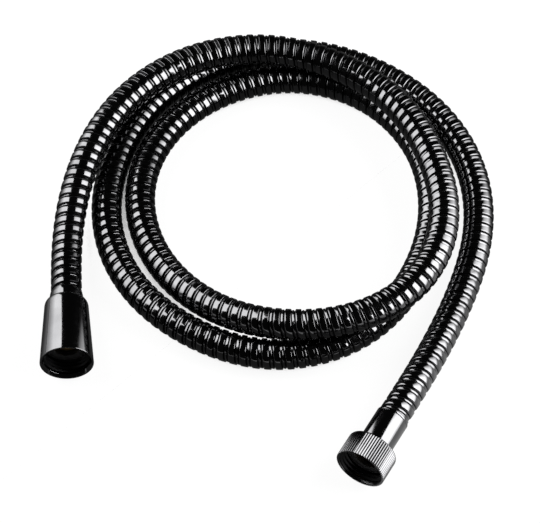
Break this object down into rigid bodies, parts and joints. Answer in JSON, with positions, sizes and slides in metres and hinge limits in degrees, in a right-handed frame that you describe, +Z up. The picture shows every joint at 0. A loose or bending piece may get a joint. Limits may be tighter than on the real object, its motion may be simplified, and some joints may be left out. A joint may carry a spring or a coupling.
{
  "type": "shower hose",
  "caption": "Flexible black chrome shower hose lying in a loose coil, with a long conical nut at one end and a short ribbed nut on a plain sleeve at the other.",
  "frame": {"origin": "on the surface the hose lies on, under the middle of its outline seen from above", "axes": "+Z up from that surface; -Y is the side both nuts look towards; +X runs from the conical nut's side to the knurled nut's side"},
  "size_m": [0.2039, 0.2473, 0.0289],
  "materials": {
    "armour_steel": "black chrome on wound stainless strip, mirror bright",
    "nut_chrome": "black chrome on brass, mirror bright",
    "insert_brass": "bare turned brass",
    "washer_rubber": "matt black rubber",
    "inner_hose_rubber": "smooth dark grey rubber"
  },
  "bodies": {
    "hose": {"hose_armour": "armour_steel", "inner_hose": "inner_hose_rubber", "cone_insert": "insert_brass", "cone_ferrule": "nut_chrome", "knurled_insert": "insert_brass", "knurled_ferrule": "nut_chrome"},
    "conical_nut_body": {"conical_nut": "nut_chrome", "cone_washer": "washer_rubber"},
    "knurled_nut_body": {"knurled_nut": "nut_chrome", "knurled_washer": "washer_rubber"}
  },
  "joints": [
    {"name": "conical_nut_spin", "type": "hinge", "parent": "hose", "child": "conical_nut_body", "pos_m": [-0.09, -0.0639, 0.01199], "axis": [0.0453, -0.9984, 0.0349], "continuous": true},
    {"name": "knurled_nut_spin", "type": "hinge", "parent": "hose", "child": "knurled_nut_body", "pos_m": [0.0381, -0.118, 0.0115], "axis": [-0.4924, -0.8704, 0], "continuous": true}
  ]
}
